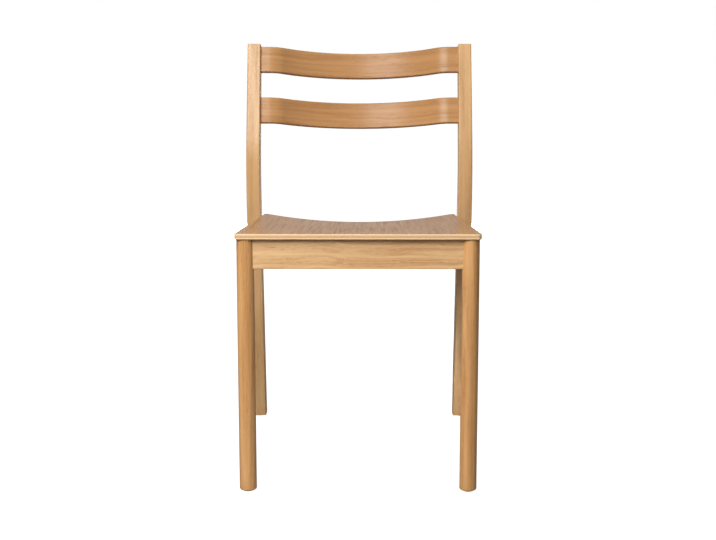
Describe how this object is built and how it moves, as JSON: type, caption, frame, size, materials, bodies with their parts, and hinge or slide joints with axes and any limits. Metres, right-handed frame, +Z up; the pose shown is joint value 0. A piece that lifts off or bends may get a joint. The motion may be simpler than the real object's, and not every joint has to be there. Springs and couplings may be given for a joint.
{
  "type": "wooden chair",
  "caption": "Wooden dining chair with round front legs, raked rear legs that bend up into back posts, bowed back slats and a dished plywood seat on railed frame.",
  "frame": {"origin": "on the floor, under the middle of the chair's outline", "axes": "+Z up; -Y the way the sitter faces; +X to the right of someone looking at the chair's front"},
  "size_m": [0.457, 0.5164, 0.781],
  "materials": {
    "seat_plywood": "satin lacquer",
    "rail_oak": "satin lacquer",
    "side_rail_oak": "satin lacquer",
    "leg_oak": "satin lacquer",
    "slat_oak": "satin lacquer",
    "block_wood": "bare, planed",
    "dowel_wood": "bare",
    "screw_steel": "zinc plated",
    "glide_plastic": "matt"
  },
  "bodies": {
    "root": {"seat_panel": "seat_plywood", "front_rail": "rail_oak", "rear_rail": "rail_oak", "left_side_rail": "side_rail_oak", "right_side_rail": "side_rail_oak", "left_front_leg": "leg_oak", "right_front_leg": "leg_oak", "left_rear_leg": "leg_oak", "right_rear_leg": "leg_oak", "top_slat": "slat_oak", "lower_slat": "slat_oak", "left_front_corner_block": "block_wood", "right_front_corner_block": "block_wood", "left_rear_corner_block": "block_wood", "right_rear_corner_block": "block_wood", "front_rail_dowels": "dowel_wood", "side_rail_dowels": "dowel_wood", "rear_leg_dowels": "dowel_wood", "corner_block_screws": "screw_steel", "seat_screws": "screw_steel", "left_front_glide": "glide_plastic", "right_front_glide": "glide_plastic", "left_rear_glide": "glide_plastic", "right_rear_glide": "glide_plastic"}
  },
  "joints": []
}
